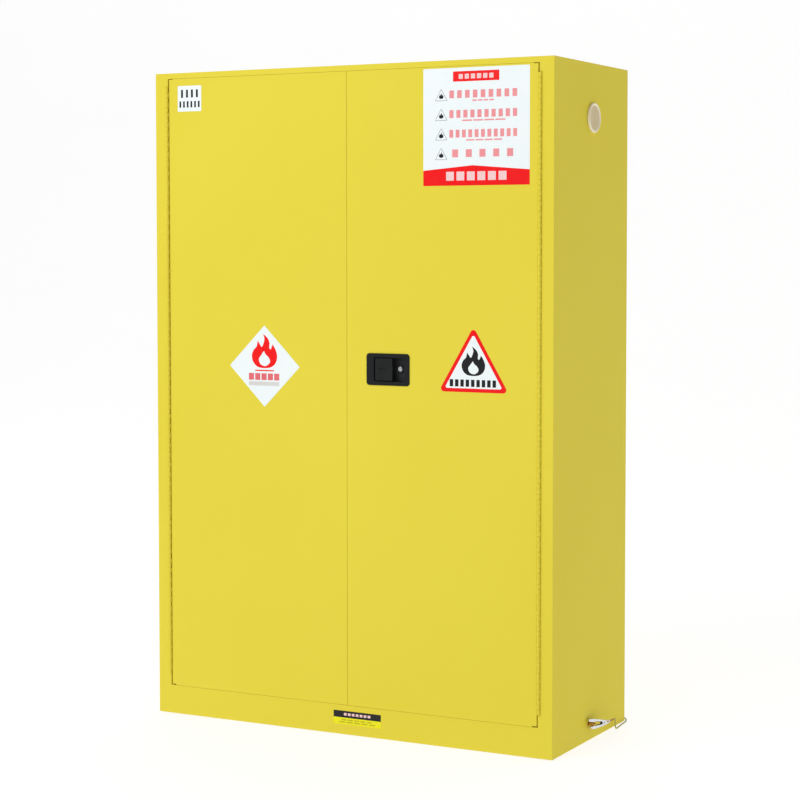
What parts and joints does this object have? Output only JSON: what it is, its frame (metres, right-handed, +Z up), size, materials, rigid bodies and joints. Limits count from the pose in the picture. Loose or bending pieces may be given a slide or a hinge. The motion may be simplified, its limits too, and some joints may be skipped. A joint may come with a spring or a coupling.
{
  "type": "flammable storage cabinet",
  "caption": "Tall yellow double-walled steel safety cabinet with doors on full-height hinges, a recessed paddle latch with a lock, spill shelves, capped vents and an earthing lead.",
  "frame": {"origin": "on the floor, below the middle of the carcass", "axes": "+Z up, the doors face -Y, +X is to the right of someone facing the doors"},
  "size_m": [1.1519, 0.5317, 1.65],
  "materials": {
    "yellow_paint": "satin powder coat",
    "zinc_steel": "zinc plated",
    "dark_steel": "oiled steel",
    "black_plastic": "fine moulded grain",
    "chrome": "polished",
    "cream_plastic": "satin moulded",
    "brass": "plain",
    "earth_sheath": "soft vinyl sheath",
    "white_vinyl": "printed film",
    "red_vinyl": "printed film",
    "black_vinyl": "printed film"
  },
  "bodies": {
    "cabinet": {"outer_side_right": "yellow_paint", "outer_side_left": "yellow_paint", "inner_side_right": "yellow_paint", "inner_side_left": "yellow_paint", "outer_back": "yellow_paint", "outer_top": "yellow_paint", "head_rail": "yellow_paint", "base_rail": "yellow_paint", "base_floor": "yellow_paint", "inner_back": "yellow_paint", "inner_top": "yellow_paint", "sump_tray": "yellow_paint", "shelf_standard_front_right": "zinc_steel", "shelf_standard_front_left": "zinc_steel", "shelf_standard_back_right": "zinc_steel", "shelf_standard_back_left": "zinc_steel", "shelf_rail_lower_right": "zinc_steel", "shelf_rail_lower_left": "zinc_steel", "shelf_rail_upper_right": "zinc_steel", "shelf_rail_upper_left": "zinc_steel", "vent_tube_right": "dark_steel", "vent_tube_left": "dark_steel", "hinge_leaf_frame_right": "yellow_paint", "hinge_leaf_frame_left": "yellow_paint", "label_base": "black_vinyl", "earth_stud": "brass", "earth_clip_jaw_lower": "chrome", "earth_wire": "earth_sheath", "earth_wire_coil": "earth_sheath", "earth_ring_terminal": "zinc_steel"},
    "door_left": {"door_skin_left": "yellow_paint", "door_inner_panel_left": "yellow_paint", "hinge_leaf_door_left": "yellow_paint", "hinge_pin_left": "dark_steel", "label_square": "white_vinyl", "label_diamond": "white_vinyl"},
    "door_right": {"door_skin_right": "yellow_paint", "door_inner_panel_right": "yellow_paint", "hinge_leaf_door_right": "yellow_paint", "hinge_pin_right": "dark_steel", "label_main": "white_vinyl", "label_triangle": "red_vinyl", "latch_dish": "black_plastic"},
    "paddle": {"latch_paddle": "black_plastic"},
    "key_plug": {"lock_cylinder": "chrome"},
    "cam": {"latch_cam": "zinc_steel"},
    "rod_top": {"latch_rod_top": "zinc_steel"},
    "rod_bottom": {"latch_rod_bottom": "zinc_steel"},
    "bolt": {"latch_bolt": "zinc_steel"},
    "shelf_lower": {"shelf_lower": "zinc_steel"},
    "shelf_upper": {"shelf_upper": "zinc_steel"},
    "clip_jaw": {"earth_clip_jaw_upper": "chrome"},
    "vent_cap_right": {"vent_cap_right": "cream_plastic"},
    "vent_cap_left": {"vent_cap_left": "cream_plastic"},
    "foot_front_left": {"foot_front_left": "zinc_steel"},
    "foot_front_right": {"foot_front_right": "zinc_steel"},
    "foot_back_left": {"foot_back_left": "zinc_steel"},
    "foot_back_right": {"foot_back_right": "zinc_steel"}
  },
  "joints": [
    {"name": "door_left_swing", "type": "hinge", "parent": "cabinet", "child": "door_left", "pos_m": [-0.52, -0.232, 0], "axis": [0, 0, -1], "range_deg": [0, 180]},
    {"name": "door_right_swing", "type": "hinge", "parent": "cabinet", "child": "door_right", "pos_m": [0.52, -0.232, 0], "axis": [0, 0, 1], "range_deg": [0, 180]},
    {"name": "latch_paddle_pull", "type": "hinge", "parent": "door_right", "child": "paddle", "pos_m": [0.086, -0.2275, 0.911], "axis": [0, 0, -1], "range_deg": [0, 40]},
    {"name": "latch_cam_turn", "type": "hinge", "parent": "door_right", "child": "cam", "pos_m": [0.101, -0.204, 0.911], "axis": [0, -1, 0], "range_deg": [0, 40]},
    {"name": "latch_rod_top_slide", "type": "slide", "parent": "door_right", "child": "rod_top", "axis": [0, 0, -1], "range_m": [0, 0.015]},
    {"name": "latch_rod_bottom_slide", "type": "slide", "parent": "door_right", "child": "rod_bottom", "axis": [0, 0, 1], "range_m": [0, 0.015], "stiffness_N_per_m": 640, "springref_m": -0.0045},
    {"name": "latch_bolt_slide", "type": "slide", "parent": "door_right", "child": "bolt", "axis": [1, 0, 0], "range_m": [0, 0.013]},
    {"name": "key_turn", "type": "hinge", "parent": "door_right", "child": "key_plug", "pos_m": [0.1435, -0.21, 0.912], "axis": [0, 1, 0], "range_deg": [0, 90]},
    {"name": "shelf_lower_lift", "type": "slide", "parent": "cabinet", "child": "shelf_lower", "axis": [0, 0, 1], "range_m": [0, 0.04]},
    {"name": "shelf_upper_lift", "type": "slide", "parent": "cabinet", "child": "shelf_upper", "axis": [0, 0, 1], "range_m": [0, 0.04]},
    {"name": "earth_clip_squeeze", "type": "hinge", "parent": "cabinet", "child": "clip_jaw", "pos_m": [0.57769, 0.03125, 0.041], "axis": [-0.9563, 0.2924, 0], "range_deg": [0, 6], "stiffness_Nm_per_rad": 0.2, "springref_deg": -28.65},
    {"name": "vent_cap_right_pull", "type": "slide", "parent": "cabinet", "child": "vent_cap_right", "axis": [1, 0, 0], "range_m": [0, 0.02]},
    {"name": "vent_cap_left_pull", "type": "slide", "parent": "cabinet", "child": "vent_cap_left", "axis": [-1, 0, 0], "range_m": [0, 0.02]},
    {"name": "support_foot_front_left_turn", "type": "hinge", "parent": "cabinet", "child": "foot_front_left", "pos_m": [-0.5, -0.16, 0], "axis": [0, 0, 1], "continuous": true},
    {"name": "support_foot_front_right_turn", "type": "hinge", "parent": "cabinet", "child": "foot_front_right", "pos_m": [0.5, -0.16, 0], "axis": [0, 0, 1], "continuous": true},
    {"name": "support_foot_back_left_turn", "type": "hinge", "parent": "cabinet", "child": "foot_back_left", "pos_m": [-0.5, 0.195, 0], "axis": [0, 0, 1], "continuous": true},
    {"name": "support_foot_back_right_turn", "type": "hinge", "parent": "cabinet", "child": "foot_back_right", "pos_m": [0.5, 0.195, 0], "axis": [0, 0, 1], "continuous": true}
  ],
  "couplings": [
    {"joint": "latch_paddle_pull", "follows": "latch_rod_bottom_slide", "rad_per_m": 46.391},
    {"joint": "latch_cam_turn", "follows": "latch_rod_bottom_slide", "rad_per_m": 46.391},
    {"joint": "latch_rod_top_slide", "follows": "latch_rod_bottom_slide", "ratio": 1},
    {"joint": "latch_bolt_slide", "follows": "latch_rod_bottom_slide", "ratio": 0.86364}
  ]
}
